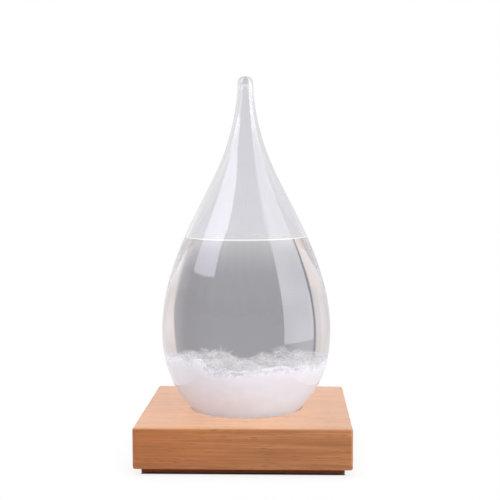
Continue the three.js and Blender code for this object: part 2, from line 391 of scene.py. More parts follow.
def meniscus_material():
    """A painted glowing white line when seen through the solution; from above, part of the
    surface, with a painted pale glow where it climbs the wall.
    """
    net = material_net("solution_meniscus")
    place = net.coords()
    geometry = net.add("NewGeometry").outputs
    under = geometry["Backfacing"]
    tilt = net.scaled(geometry["Normal"], 0.12)
    upward = net.vmath("NORMALIZE", net.vmath("ADD", net.join(0.0, 0.0, 1.0), tilt))
    body = net.principled(
        Base_Color=1.0, Roughness=0.0, IOR=N_LIQUID, Transmission_Weight=1.0,
        Normal=net.mix(under, upward, geometry["Normal"]))
    # painted highlight: the white line and the pale glow are emission, no lamp
    white = net.mix(net.noise(place, scale=45), (0.90, 0.89, 0.88), (1.0, 0.99, 0.98))
    line = net.shader("Emission", Color=white, Strength=1.18)
    painted_pale_glow = net.shader("Emission", Color=(0.74, 0.735, 0.75))
    climb = net.remap(net.split(place)[2],
                      (Z_TOP + (LEVEL + 0.08) * MM, Z_TOP + (LEVEL + 0.4) * MM))
    above = net.shade_mix(net.times(climb, 0.68), body, painted_pale_glow)
    below = net.shade_mix(0.94, body, line)
    look = net.shade_mix(under, above, below)
    return net.finish(net.pass_light(net.add("LightPath"), look), is_lamp=False)


# ------------------------------------------------------------------ crystal materials
def crystal_material(name, base, through, glow, dense=False):
    """White scattering crystals: the dense bed, or loose needles that are partly clear.

    through is the share of translucency, glow the strength of a painted glow that stands in for
    the light wandering inside.
    """
    net = material_net(name)
    place = net.coords()
    grain = net.noise(place, scale=900, detail=4, rough=0.65)
    cloud = net.noise(place, scale=130, detail=3, rough=0.6, distort=0.5)
    patch = net.noise(place, scale=55, detail=3, rough=0.55, stretch=(1, 1, 1.3))
    even = 0.955 if dense else 0.9      # brightness of the darker clouds
    colour = net.mix(net.remap(cloud, (0.34, 0.62)), shaded(base, even), base)
    colour = net.mix(net.remap(patch, (0.36, 0.6)), shaded(base, even + 0.02), colour)
    colour = net.mix(net.remap(grain, (0.35, 0.6)), shaded(base, 0.94), colour)
    # painted glow: the crystals give off light of their own, a little more in the clouds
    glow_range = (0.9, 1.06) if dense else (0.8, 1.1)
    light = net.times(net.remap(cloud, (0.35, 0.6), to=glow_range), glow)
    if dense:
        z = net.split(place)[2]
        # painted light: the glow grows towards its foot, standing in for the light the wood
        # throws into it
        low = net.remap(z, (Z_TOP - 0.006, Z_TOP + 0.020), to=(1.0, 0.0))
        light = net.times(light, net.remap(low, (0.0, 1.0), to=(1.0, 1.85)))
        # painted glow: its inner faces always glow a little
        geometry = net.add("NewGeometry").outputs
        light = net.math("MAXIMUM", light, net.times(geometry["Backfacing"], 0.30))
        # painted light: cooler towards the foot, offsetting the warm light the wood throws up
        colour = net.mix(net.times(low, 0.6), colour, (0.805, 0.855, 0.895))
        # painted light: the low right of the bed is tinted cooler, standing in for the more
        # neutral light on that side
        painted_cool_light = net.times(net.remap(z, (Z_TOP + 0.022, Z_TOP + 0.008)),
                         net.remap(net.split(place)[0], (-0.008, 0.022)))
        colour = net.mix(net.times(painted_cool_light, 0.75), colour, (0.80, 0.885, 0.965))
        # painted shade: darker on top, where the skin faces up and the crystals lie looser
        upper = net.remap(net.split(geometry["Normal"])[2], (0.25, 0.8))
        colour = net.mix(net.times(upper, 0.7), colour, (0.53, 0.525, 0.54))
    pitting = net.noise(place, scale=1100, detail=4, rough=0.65)
    body = net.principled(
        Base_Color=colour, Roughness=net.remap(grain, (0.3, 0.7), to=(0.45, 0.75)), IOR=1.08,
        Normal=net.bump(pitting, strength=0.25 if dense else 0.3, distance=0.0003),
        Emission_Color=colour, Emission_Strength=light)
    look = net.shade_mix(through, body, net.shader("BsdfTranslucent", Color=colour))
    if dense:
        # it thins out raggedly towards its rim
        edge = net.add("Attribute", attribute_name="edge").outputs["Fac"]
        tear = net.noise(place, scale=210, detail=4, rough=0.65, distort=0.6)
        ragged = net.plus(edge, net.times(net.minus(tear, 0.5), 1.5))
        share = net.remap(ragged, (0.25, 0.95), to=(0.0, 0.86), smooth=True)
    else:
        mean_share = 0.70
        share = net.remap(net.noise(place, scale=300), (0.3, 0.7),
                          to=(mean_share * 0.75, mean_share * 1.25))
    return net.finish(net.shade_mix(share, look, net.transparent()))


def fluff_material():
    """Loose crystals as a mass: thick in the middle, thinning to nothing at the edge."""
    net = material_net("crystal_fluff_white")
    place = net.coords()
    geometry = net.add("NewGeometry").outputs
    drift = net.scaled(net.noise(place, scale=90, out="Color"), 0.006)
    warped = net.mapping(net.vmath("ADD", place, drift), (1, 1, 2.4), rotation=(0.3, 0.5, 0.2))
    hair = net.noise(warped, scale=520, detail=4, rough=0.7, distort=0.8)
    cloud = net.noise(place, scale=170, detail=3, rough=0.6)
    facing = net.vmath("DOT_PRODUCT", geometry["Normal"], geometry["Incoming"])
    facing = net.math("POWER", net.math("ABSOLUTE", facing), 1.2)
    alpha = net.times(facing, net.remap(hair, (0.36, 0.64), to=(0.42, 0.95)))
    alpha = net.times(alpha, net.remap(cloud, (0.3, 0.65), to=(0.62, 1.0)))
    alpha = net.times(alpha, net.remap(geometry["Backfacing"], (0.0, 1.0), to=(0.72, 0.0)))
    colour = net.mix(net.remap(hair, (0.3, 0.7)), (0.47, 0.462, 0.47), (0.66, 0.65, 0.665))
    diffuse = net.shader("BsdfDiffuse", Color=colour,
                         Normal=net.bump(hair, strength=0.35, distance=0.0004))
    translucent = net.shader("BsdfTranslucent", Color=colour)
    # a painted glow, standing in for the light that wanders from needle to needle
    glow = net.shader("Emission", Color=colour, Strength=0.30)
    mass = net.add("AddShader", {0: net.shade_mix(0.45, diffuse, translucent), 1: glow})
    return net.finish(net.shade_mix(alpha, net.transparent(), mass.outputs[0]), is_lamp=False)


# ------------------------------------------------------------------ base materials
def beech_material(name, shade=(1.0, 1.0, 1.0), gloss=1.0):
    """Beech: grain along X, rings round a pith far below, short dark ray flecks."""
    net = material_net(name)
    place = net.coords()

    def tone(*colour):
        return tuple(v * k for v, k in zip(colour, shade))

    wander = net.noise(place, stretch=(4, 9, 9), out="Color")
    grown = net.vmath("ADD", place, net.scaled(wander, 0.006))
    x, y, z = net.split(grown)

    # patterns, all between 0 and 1
    from_pith = net.vmath("LENGTH", net.join(0.0, net.plus(y, 0.045), net.plus(z, 0.16)))
    ring = net.noise(net.join(net.times(x, 2.5), 0.0, net.times(from_pith, 260.0)),
                     detail=3, rough=0.6)
    broad = net.noise(grown, stretch=(4, 30, 60))
    fibre = net.noise(place, detail=3, rough=0.62, stretch=(28, 1150, 1150))
    streak = net.noise(grown, rough=0.55, stretch=(14, 420, 420))
    cells = net.voronoi(net.mapping(grown, (105, 1000, 1350)), scale=1.0)
    fleck = net.remap(cells, (0.14, 0.34), to=(1.0, 0.0), smooth=True)
    groups = net.noise(place, stretch=(40, 150, 150))
    fleck = net.times(fleck, net.remap(groups, (0.42, 0.62)))
    pore = net.remap(net.noise(place, rough=0.6, stretch=(200, 3400, 3400)), (0.60, 0.74))
    top = net.remap(net.split(net.add("NewGeometry").outputs["Normal"])[2], (0.4, 0.9))

    def by_face(side, upper):
        """One strength on the sides, another on the top face."""
        return net.remap(top, (0.0, 1.0), to=(side, upper))

    base = net.mix(net.remap(ring, (0.3, 0.7)),
                   tone(0.414, 0.153, 0.047), tone(0.488, 0.193, 0.067))
    base = net.mix(net.remap(broad, (0.3, 0.72)), base, tone(0.532, 0.222, 0.084))
    # redder towards the left end, a tone of the wood; kept weaker on the top face as painted
    # light, for the top being lit more brightly
    redder = net.times(net.remap(x, (-0.064, 0.02), to=(1.0, 0.0)), by_face(0.86, 0.45))
    base = net.mix(redder, base, tone(0.482, 0.143, 0.031))
    # painted shade: darker at the right of the top, most of all in front
    front = net.remap(y, (0.03, -0.03), to=(0.25, 0.55))
    painted_shade_top_right = net.times(net.times(top, net.remap(x, (0.018, 0.05))), front)
    base = net.mix(painted_shade_top_right, base, tone(0.36, 0.128, 0.042))
    # painted light: the sides are tinted lighter and the top yellower, standing in for how each
    # face is lit; the sides also show more grain than the top
    base = net.tint(base, net.mix(top, (1.065, 1.07, 1.035), (0.975, 1.03, 0.925)))
    for pattern, strength, colour in (
            (net.remap(streak, (0.42, 0.66)), by_face(0.62, 0.40), (0.322, 0.116, 0.038)),
            (net.remap(fibre, (0.4, 0.7)), by_face(0.72, 0.40), (0.315, 0.112, 0.036)),
            (fleck, 0.62, (0.188, 0.065, 0.021)),
            (pore, 0.25, (0.150, 0.051, 0.016))):
        base = net.mix(net.times(pattern, strength), base, tone(*colour))

    rough = net.plus(net.remap(fibre, (0.2, 0.8), to=(0.34, 0.46)), net.times(fleck, 0.08))
    hollow = net.plus(net.times(pore, 0.6), net.times(fleck, 0.3))
    relief = net.minus(net.times(fibre, 0.5), hollow)
    return net.finish(net.principled(
        Base_Color=base, Roughness=rough, IOR=1.5, Specular_IOR_Level=0.5 * gloss,
        Normal=net.bump(relief, strength=0.12, distance=0.0003)))


def felt_material():
    net = material_net("felt")
    place = net.coords()
    hair = net.noise(place, scale=2600, detail=4, rough=0.7, distort=1.5, stretch=(1, 1, 1))
    tuft = net.noise(place, scale=700, detail=3, rough=0.6)
    colour = net.mix(net.remap(hair, (0.35, 0.65)), (0.02, 0.017, 0.014), (0.075, 0.065, 0.055))
    colour = net.mix(net.times(tuft, 0.4), colour, (0.05, 0.04, 0.033))
    return net.finish(net.principled(
        Base_Color=colour, Roughness=0.95, Sheen_Weight=0.5,
        Normal=net.bump(hair, strength=0.8, distance=0.0004)))


def cork_material():
    net = material_net("cork")
    place = net.coords()
    cell = net.split(net.voronoi(place, scale=620, out="Color"))[0]
    border = net.voronoi(place, scale=620, feature="DISTANCE_TO_EDGE")
    gap = net.remap(border, (0.0, 0.08), to=(1.0, 0.0))
    colour = net.mix(cell, (0.30, 0.17, 0.08), (0.56, 0.37, 0.2))
    colour = net.mix(net.times(gap, 0.7), colour, (0.12, 0.06, 0.03))
    relief = net.minus(net.noise(place, scale=1500, detail=3, rough=0.6), gap)
    return net.finish(net.principled(
        Base_Color=colour, Roughness=0.85,
        Normal=net.bump(relief, strength=0.5, distance=0.0004)))


mat_glass = clear_material("clear_glass", N_GLASS, ripple=0.0015, smear=0.004)
mat_wetted = clear_material("clear_glass_wetted", N_GLASS / N_LIQUID)
mat_surface = clear_material("solution_surface", N_LIQUID)
mat_liquid = clear_material("solution", 1.0)
mat_meniscus = meniscus_material()
mat_bed = crystal_material(
    "crystal_bed_white", (0.80, 0.79, 0.835), through=0.3, glow=0.20, dense=True)
mat_needle = crystal_material(
    "crystal_needle_white", (0.80, 0.80, 0.80), through=0.5, glow=0.0)
mat_fluff = fluff_material()
mat_beech = beech_material("beech")
# painted shade: a darker, browner copy of the beech for the plate in the shadow under the block
mat_beech_painted_shade = beech_material("beech_shadow", shade=(0.42, 0.275, 0.14), gloss=0.35)
mat_felt = felt_material()
mat_cork = cork_material()

# ------------------------------------------------------------------ drop profiles
outer = [(0.0, -12.3)] + spline(OUTER, PROFILE_STEP) + [(0.0, (TIP - Z_TOP) / MM - 0.01)]
inner = [(0.0, -9.75)] + spline(INNER, PROFILE_STEP) + [(0.0, 190.9)]
contact = LEVEL + CREEP         # where the solution meets the wall; it gets its own ring
inner = ([p for p in inner if p[1] < contact - 0.15] + [(radius_at(inner, contact), contact)]
         + [p for p in inner if p[1] > contact + 0.15])
bed_line = offset_profile(inner, 0.12)


def build_glass():
    verts, faces = turned(outer, AROUND)
    outer_count = len(faces)
    lining = turned(inner, AROUND, verts)[1]
    faces += [tuple(reversed(face)) for face in lining]
    glass = new_mesh("glass_drop_blown", verts, faces, mat_glass, mat_wetted)
    wet_z = Z_TOP + contact * MM + 1e-6
    mesh = glass.data
    for face in mesh.polygons:
        if face.index >= outer_count:
            if max(mesh.vertices[v].co.z for v in face.vertices) <= wet_z:
                face.material_index = 1
    register(glass, "clear_glass", "drop", "glass_drop", "tip_seal")


def build_solution():
    """The liquid from just below the bed's top up to its surface and meniscus."""
    wall = offset_profile(inner, 0.04)
    side = [p for p in wall if BED - 7 <= p[1] <= contact - 0.6]
    rim_radius = radius_at(wall, contact)
    end = math.exp(-MENISCUS_REACH / MENISCUS_FALL)
    rim = []
    for k in range(MENISCUS_STEPS + 1):
        x = MENISCUS_REACH * (k / MENISCUS_STEPS) ** 1.9
        climb = CREEP * (math.exp(-x / MENISCUS_FALL) - end) / (1 - end)
        rim.append((rim_radius - x, LEVEL + climb))
    low_r, low_z = side[0]
    profile = [(0.0, low_z)] + [(low_r * k / 6, low_z) for k in range(1, 6)] + side + rim
    profile += [(rim[-1][0] * (1 - k / SURFACE_STEPS), LEVEL) for k in range(1, SURFACE_STEPS)]
    profile.append((0.0, LEVEL))
    verts, faces = turned(profile, AROUND)
    liquid = new_mesh("storm_liquid_fill", verts, faces, mat_liquid, mat_surface, mat_meniscus)

    first_top = len(faces) - AROUND * (MENISCUS_STEPS + 1 + SURFACE_STEPS)
    top_z = Z_TOP + (LEVEL - 0.05) * MM
    flat_radius = (rim_radius - 3.4) * MM
    mesh = liquid.data
    for face in mesh.polygons:
        low = min(mesh.vertices[v].co.z for v in face.vertices)
        if low > top_z and face.normal.z > 0.05 and face.index >= first_top:
            out = math.hypot(face.center.x, face.center.y) > flat_radius
            face.material_index = 2 if out else 1
    register(liquid, "solution", "drop", "storm_liquid")


build_glass()
build_solution()

# ------------------------------------------------------------------ shape of the crystal bed
BED_RIM_R = radius_at(bed_line, BED)
# Swells and dips of the top near the back: x, y, radius, rise, in mm.
SWELLS = [
    (-31, 20, 8, 2.6), (-23, 25, 6, 1.6), (-13, 27, 6, 2.2), (9, 28, 6, 1.8),
    (16, 26, 5, 1.2), (-3, 26, 5, -1.3), (24, 24, 5, -1.0),
]
# How the crystals creep up the glass: degrees from the front, positive to the right; mm.
RIM_RISE = [
    (-180, -0.6), (-150, 1.2), (-120, 0.0), (-96, 3.0), (-84, 5.6), (-66, 7.6), (-50, 8.2),
    (-42, 9.0), (-34, 9.6), (-30, 8.4), (-26.5, 3.2), (-16, 2.0), (-7, 1.8), (2, 2.4),
    (14, 3.8), (26, 4.2), (36, 3.4), (52, 3.6), (70, 2.2), (92, 1.8), (118, -0.8),
    (148, 1.4), (180, -0.6),
]
# Drifts heaped against the wall: degrees anticlockwise from +X, height of the top in mm.
HEAPS = [
    (163, 30.2), (157, 31.2), (151, 31.4), (145, 32.2), (139, 32.8), (133, 33.8), (127, 33.0),
    (121, 33.2), (115, 33.8), (109, 32.8), (103, 31.4), (96, 29.8), (85, 31.2), (80, 33.0),
    (75, 33.8), (70, 32.6), (62, 30.6), (52, 30.2), (43, 30.8), (34, 31.6), (25, 31.2),
    (-20, 29.5), (-150, 30.0), (-165, 30.5),
]


def lumps(x, y):
    """Height of the bed's top over its mean level."""
    edge = 1 - min(1.0, math.hypot(x, y) / BED_RIM_R) ** 6
    high = sum(rise * math.exp(-((x - mid_x) ** 2 + (y - mid_y) ** 2) / radius ** 2)
               for mid_x, mid_y, radius, rise in SWELLS)
    big = (0.9 * math.sin(0.13 * x + 0.9) * math.cos(0.11 * y - 0.4)
           + 0.7 * math.sin(0.27 * x - 0.17 * y + 2.1))
    return edge * (big + high + 1.3 * wave(x * 0.2, y * 0.2, 3.1)
                   + 0.8 * wave(x * 0.5, y * 0.5, 7.7) + 0.4 * wave(x * 1.5, y * 1.5, 1.3))


def rim_rise(angle):
    """How much above its mean level the bed meets the glass."""
    from_front = (math.degrees(angle) + 90 + 180) % 360 - 180
    for (start, low), (end, high) in zip(RIM_RISE, RIM_RISE[1:]):
        if start <= from_front <= end:
            t = (from_front - start) / (end - start)
            base = low + (high - low) * t * t * (3 - 2 * t)
            break
    place = Vector((math.cos(angle) * 4.0, math.sin(angle) * 4.0, 0.4))
    return (base + 1.1 * noise.noise(place) + 0.8 * noise.noise(place * 2.7)
            + 0.45 * noise.noise(place * 7.0))


def bed_point(angle, row, depth):
    """A point of the bed's skin: row 0 to 1 up the side, depth 0 to 1 from rim to axis."""
    rise = rim_rise(angle)
    z = BED_LOW + (BED + rise - BED_LOW) * row
    cos, sin = math.cos(angle), math.sin(angle)
    rough = wave(cos * 11, sin * 11, z * 0.35)
    back = (max(0.0, (row - 0.72) / 0.28) ** 2 * (0.9 + 1.0 * rough)
            + 0.25 * max(0.0, rough) * row)
    r = radius_at(bed_line, z) - max(0.0, back)
    if depth <= 0:
        return Vector((r * cos, r * sin, z))
    inward = 1 - depth
    x, y = r * inward * cos, r * inward * sin
    edge = inward ** 6
    z = BED + lumps(x, y) * (1 - edge) + rise * edge
    if depth < 0.111:       # a soft ridge just inside the rim
        z += 0.9 * math.sin(math.pi * min(1.0, depth * 9))
    return Vector((x, y, z))


# ------------------------------------------------------------------ crystal growth
def to_metres(point):
    return point.x * MM, point.y * MM, Z_TOP + point.z * MM


def inside_wall(point, margin):
    """True if the point is in the drop and margin clear of the glass."""
    if not -8 < point.z < LEVEL - 3:
        return False
    return math.hypot(point.x, point.y) < radius_at(inner, point.z) - margin


def random_direction(rng):
    while True:
        way = Vector((rng.uniform(-1, 1), rng.uniform(-1, 1), rng.uniform(-0.2, 1)))
        if way.length > 0.05:
            return way.normalized()


def ball_points():
    """Evenly spread unit directions and the triangles between them: a divided icosahedron."""
    g = (1 + 5 ** 0.5) / 2      # golden ratio
    corners = [
        (-1, g, 0), (1, g, 0), (-1, -g, 0), (1, -g, 0), (0, -1, g), (0, 1, g),
        (0, -1, -g), (0, 1, -g), (g, 0, -1), (g, 0, 1), (-g, 0, -1), (-g, 0, 1),
    ]
    points = [Vector(corner).normalized() for corner in corners]
    triangles = [
        (0, 11, 5), (0, 5, 1), (0, 1, 7), (0, 7, 10), (0, 10, 11), (1, 5, 9), (5, 11, 4),
        (11, 10, 2), (10, 7, 6), (7, 1, 8), (3, 9, 4), (3, 4, 2), (3, 2, 6), (3, 6, 8),
        (3, 8, 9), (4, 9, 5), (2, 4, 11), (6, 2, 10), (8, 6, 7), (9, 8, 1),
    ]
    for _ in range(2):
        middles, finer = {}, []
        for tri in triangles:
            mid = []
            for i in range(3):
                key = tuple(sorted((tri[i], tri[(i + 1) % 3])))
                if key not in middles:
                    middles[key] = len(points)
                    points.append((points[key[0]] + points[key[1]]).normalized())
                mid.append(middles[key])
            finer += [(tri[0], mid[0], mid[2]), (tri[1], mid[1], mid[0]),
                      (tri[2], mid[2], mid[1]), tuple(mid)]
        triangles = finer
    return points, triangles


BALL_POINTS, BALL_FACES = ball_points()


class Growth:
    """Crystals gathered into one mesh; places and sizes are in mm."""

    def __init__(self, seed, verts, faces):
        self.rng = random.Random(seed)
        self.verts = verts
        self.faces = faces

    def blade(self, start, end, width, thickness, side):
        """A flat pointed crystal: an elongated eight-faced body."""
        way = end - start
        length = way.length
        way /= length
        side = side - way * side.dot(way)
        side.normalize()
        up = way.cross(side)
        middle = start + way * (length * 0.38)
        across, over = side * width / 2, up * thickness / 2
        first = len(self.verts)
        self.verts += [to_metres(p) for p in (
            start, middle + across, middle + over, middle - across, middle - over, end)]
        for k in range(4):
            j = (k + 1) % 4
            self.faces.append((first, first + 1 + j, first + 1 + k))
            self.faces.append((first + 5, first + 1 + k, first + 1 + j))

    def feather(self, root, direction, length, spread, curl):
        """A bent stem with fine barbs that lean forwards and shorten towards the tip."""
        rng = self.rng
        side = direction.cross(random_direction(rng))
        if side.length < 1e-3:
            side = direction.orthogonal()
        side.normalize()
        bend = direction.cross(side) * curl
        count = max(6, int(length / 0.45))
        stem = [root + direction * (length * k / count) + bend * (length * (k / count) ** 2)
                for k in range(count + 1)]
        if not all(inside_wall(point, 0.25) for point in stem):
            return
        for k in range(0, count - 1, 2):
            start = stem[k] - (stem[k + 1] - stem[k]) * 0.3
            self.blade(start, stem[min(k + 3, count)], width=0.26 * (1 - 0.5 * k / count),
                       thickness=0.2, side=side)
        for k in range(1, count):
            t = k / count
            reach = (spread * length * (1 - t) ** 0.6 * rng.uniform(0.8, 1.1)
                     * min(1.0, 0.3 + t * 2.4))
            if reach < 0.3:
                continue
            along = (stem[k] - stem[k - 1]).normalized()
            for sign in (-1, 1):
                lean = along * rng.uniform(0.9, 1.2) + side * sign * rng.uniform(0.6, 0.8)
                tip = stem[k] + lean * reach
                if inside_wall(tip, 0.2):
                    self.blade(stem[k] - side * sign * 0.05, tip,
                               width=rng.uniform(0.13, 0.22), thickness=0.09, side=along)

    def puff(self, centre, radius, flat):
        """A ragged clump of loose crystals; flat is its height over its width."""
        rng = self.rng
        turn, tilt = rng.uniform(0, math.pi), rng.uniform(-0.35, 0.35)
        stretch = rng.uniform(1.0, 1.7)
        rotation = Matrix.Rotation(turn, 3, "Z") @ Matrix.Rotation(tilt, 3, "Y")
        seed = Vector((rng.uniform(0, 50), rng.uniform(0, 50), rng.uniform(0, 50)))
        first = len(self.verts)
        for way in BALL_POINTS:
            k = (1 + 0.42 * noise.noise(way * 1.5 + seed) + 0.26 * noise.noise(way * 3.6 + seed)
                 + 0.13 * noise.noise(way * 8.0 + seed))
            point = centre + rotation @ Vector((
                way.x * radius * stretch * k, way.y * radius * k, way.z * radius * flat * k))
            room = radius_at(inner, point.z) - 0.2
            far = math.hypot(point.x, point.y)
            if far > room:
                point.x, point.y = point.x * room / far, point.y * room / far
            self.verts.append(to_metres(point))
        self.faces += [(first + a, first + b, first + c) for a, b, c in BALL_FACES]


def bed_body():
    """Vertices, faces and rows of the solid bed, the rows from BED_LOW up, and over the top."""
    verts = []
    foot = [p for p in bed_line if p[1] < BED_LOW - 0.3]
    foot_rows = add_rings(verts, foot, BED_AROUND)
    rows = []
    for i in range(BED_SIDE + BED_TOP):
        rows.append(list(range(len(verts), len(verts) + BED_AROUND)))
        row, depth = min(1.0, i / BED_SIDE), max(0.0, (i - BED_SIDE) / BED_TOP)
        verts += [to_metres(bed_point(2 * math.pi * k / BED_AROUND, row, depth))
                  for k in range(BED_AROUND)]
    rows.append([len(verts)])
    verts.append((0.0, 0.0, Z_TOP + (BED + lumps(0, 0)) * MM))
    return verts, stitch(foot_rows + rows, BED_AROUND), rows


def thickness_at(point):
    """Random field: the loose crystals lie thicker where it is high."""
    return wave(point.x * 0.11, point.y * 0.11, 5.5)


def scatter_clumps(growth):
    """Loose clumps all over the bed, the last hundred of them near its rim."""
    rng = growth.rng
    for i in range(330):
        angle = rng.uniform(0, 2 * math.pi)
        depth = 1 - math.sqrt(rng.random()) if i < 230 else rng.uniform(0.01, 0.06)
        point = bed_point(angle, 1.0, max(depth, 0.02))
        thick = thickness_at(point)
        if thick < -0.25 and rng.random() < 0.7:
            continue
        radius = rng.uniform(1.5, 3.1)
        lift = Vector((0, 0, rng.uniform(-0.1, 0.9) + 1.6 * max(0.0, thick)))
        growth.puff(point + lift, radius, rng.uniform(0.5, 0.85))


def heap_drifts(growth):
    """Pile clumps into the heaps along the wall; returns a place near the top of each."""
    rng = growth.rng
    tops = []
    for degrees, top in HEAPS:
        z = BED + 0.6
        while z < top - 0.9:
            t = (z - BED) / (top - BED)
            r = radius_at(inner, z) * rng.uniform(0.80, 0.93)
            angle = math.radians(degrees) + rng.uniform(-0.09, 0.09)
            x, y = r * math.cos(angle), r * math.sin(angle)
            growth.puff(Vector((x, y, z)), rng.uniform(1.9, 2.7) * (1 - 0.3 * t),
                        rng.uniform(0.5, 0.8))
            z += rng.uniform(0.9, 1.4)
        tops.append(Vector((x, y, top - 1.6)))
    return tops


def scatter_feathers(growth, heap_tops):
    """Feathers on the heaps, over the bed and along its rim against the glass."""
    rng = growth.rng
    for top in heap_tops:
        for _ in range(3):
            way = Vector((rng.uniform(-1, 1), rng.uniform(-1, 1), rng.uniform(0.1, 0.9)))
            shift = Vector((rng.uniform(-1, 1), rng.uniform(-1, 1), rng.uniform(-0.6, 0.2)))
            growth.feather(top + shift, way.normalized(), length=rng.uniform(2.0, 3.2),
                           spread=0.36, curl=rng.uniform(-0.5, 0.5))
    for _ in range(240):
        angle = rng.uniform(0, 2 * math.pi)
        depth = 1 - math.sqrt(rng.random())
        point = bed_point(angle, 1.0, max(depth, 0.002))
        thick = thickness_at(point)
        if thick < -0.22 and rng.random() < 0.75:
            continue
        way = Vector((rng.uniform(-1, 1), rng.uniform(-1, 1),
                      rng.uniform(0.0, 0.75 + 0.9 * max(0.0, thick))))
        if way.length < 0.2:
            continue
        growth.feather(point - Vector((0, 0, 0.4)), way.normalized(),
                       length=rng.uniform(2.6, 4.4) * (1 + 0.5 * max(-0.4, thick)),
                       spread=rng.uniform(0.28, 0.40), curl=rng.uniform(-0.5, 0.5))
    for _ in range(80):
        angle = rng.uniform(0, 2 * math.pi)
        root = bed_point(angle, 1 - 0.12 * rng.random(), 0.0)
        out = Vector((math.cos(angle), math.sin(angle), 0))
        way = (out * rng.uniform(-0.5, 0.1) + Vector((-out.y, out.x, 0)) * rng.uniform(-1, 1)
               + Vector((0, 0, rng.uniform(-0.1, 0.7))))
        growth.feather(root - out * 0.3, way.normalized(), length=rng.uniform(2.0, 4.2),
                       spread=0.3, curl=rng.uniform(-0.4, 0.4))


def build_bed():
    """The settled bed; its material slots are the solid body, the clumps and the feathers."""
    verts, faces, rows = bed_body()
    body_count = len(faces)
    growth = Growth(61, verts, faces)
    scatter_clumps(growth)
    heap_tops = heap_drifts(growth)
    clump_end = len(faces)
    growth.rng = random.Random(88)
    scatter_feathers(growth, heap_tops)
    bed = new_mesh("crystal_bed_settled", verts, faces, mat_bed, mat_fluff, mat_needle)
    for face in bed.data.polygons:
        face.material_index = (face.index >= body_count) + (face.index >= clump_end)
    # "edge" is 1 at the rim and fades down the side and over the top
    edge = bed.data.attributes.new("edge", "FLOAT", "POINT")
    for i, row in enumerate(rows):
        if i <= BED_SIDE:
            near = max(0.0, (i / BED_SIDE - 0.62) / 0.38)
        else:
            near = max(0.0, 1 - (i - BED_SIDE) / 4)
        for vertex in row:
            edge.data[vertex].value = near
    register(bed, "crystals", "drop", "crystal_bed")
    return bed


def build_tuft(number):
    """A loose cluster of clumps and feathers, growing where its CAD solid sits."""
    cad_name = "crystal_tuft_%02d" % number
    low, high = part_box(cad_name)
    centre = (low + high) / 2
    centre_x, centre_y = centre.x / MM, centre.y / MM
    reach_x, reach_y = (high.x - low.x) / 2 / MM, (high.y - low.y) / 2 / MM
    tip = (high.z - Z_TOP) / MM - 0.5
    growth = Growth(400 + number, [], [])
    rng = growth.rng
    for _ in range(15):
        angle = rng.uniform(0, 2 * math.pi)
        out = math.sqrt(rng.random())
        radius = rng.uniform(1.3, 2.5)
        x = centre_x + reach_x * 0.8 * out * math.cos(angle)
        y = centre_y + reach_y * 0.8 * out * math.sin(angle)
        ground = BED + lumps(x, y)
        top = max(tip - 1.2, ground + 0.5)
        z = ground + (top - ground) * (1 - out) * rng.uniform(0.6, 1.0)
        growth.puff(Vector((x, y, z)), radius, rng.uniform(0.6, 0.95))
    clump_end = len(growth.faces)
    for _ in range(16):
        angle = rng.uniform(0, 2 * math.pi)
        out = math.sqrt(rng.random())
        cos, sin = math.cos(angle), math.sin(angle)
        x = centre_x + reach_x * 0.8 * out * cos
        y = centre_y + reach_y * 0.8 * out * sin
        root = Vector((x, y, BED + lumps(x, y) + rng.uniform(0.0, 2.6) * (1 - out * 0.5)))
        way = Vector((cos * out * 1.2 + rng.uniform(-0.6, 0.6),
                      sin * out * 1.2 + rng.uniform(-0.6, 0.6),
                      rng.uniform(0.35, 1.3))).normalized()
        length = rng.uniform(2.6, 4.8)
        room = tip - root.z
        if way.z * length > room:
            length = max(1.6, room / way.z)
        if inside_wall(root, 0.5) and inside_wall(root + way * length, 0.4):
            growth.feather(root, way, length, spread=rng.uniform(0.30, 0.42),
                           curl=rng.uniform(-0.5, 0.5))
    tuft = new_mesh("crystal_fern_%02d" % number, growth.verts, growth.faces,
                    mat_fluff, mat_needle)
    for face in tuft.data.polygons:
        face.material_index = int(face.index >= clump_end)
    register(tuft, "crystals", "drop", cad_name)
    return tuft


crystals = [build_bed()] + [build_tuft(number) for number in range(1, 10)]


# ------------------------------------------------------------------ base
def square_loop(half, corner, z, corner_steps=7, side_steps=48):
    """Points of a square with round corners, anticlockwise; half and corner in mm."""
    signs = [(1, 1), (-1, 1), (-1, -1), (1, -1)]
    points = []
    for c, (sign_x, sign_y) in enumerate(signs):
        next_x, next_y = signs[(c + 1) % 4]
        mid_x, mid_y = sign_x * (half - corner), sign_y * (half - corner)
        for k in range(corner_steps + 1):
            angle = math.pi / 2 * (c + k / corner_steps)
            points.append((mid_x + corner * math.cos(angle), mid_y + corner * math.sin(angle)))
        angle = math.pi / 2 * (c + 1)
        shift_x, shift_y = corner * math.cos(angle), corner * math.sin(angle)
        x0, y0 = mid_x + shift_x, mid_y + shift_y
        x1, y1 = next_x * (half - corner) + shift_x, next_y * (half - corner) + shift_y
        for k in range(1, side_steps):
            t = k / side_steps
            points.append((x0 + (x1 - x0) * t, y0 + (y1 - y0) * t))
    return [(x * MM, y * MM, z) for x, y in points]


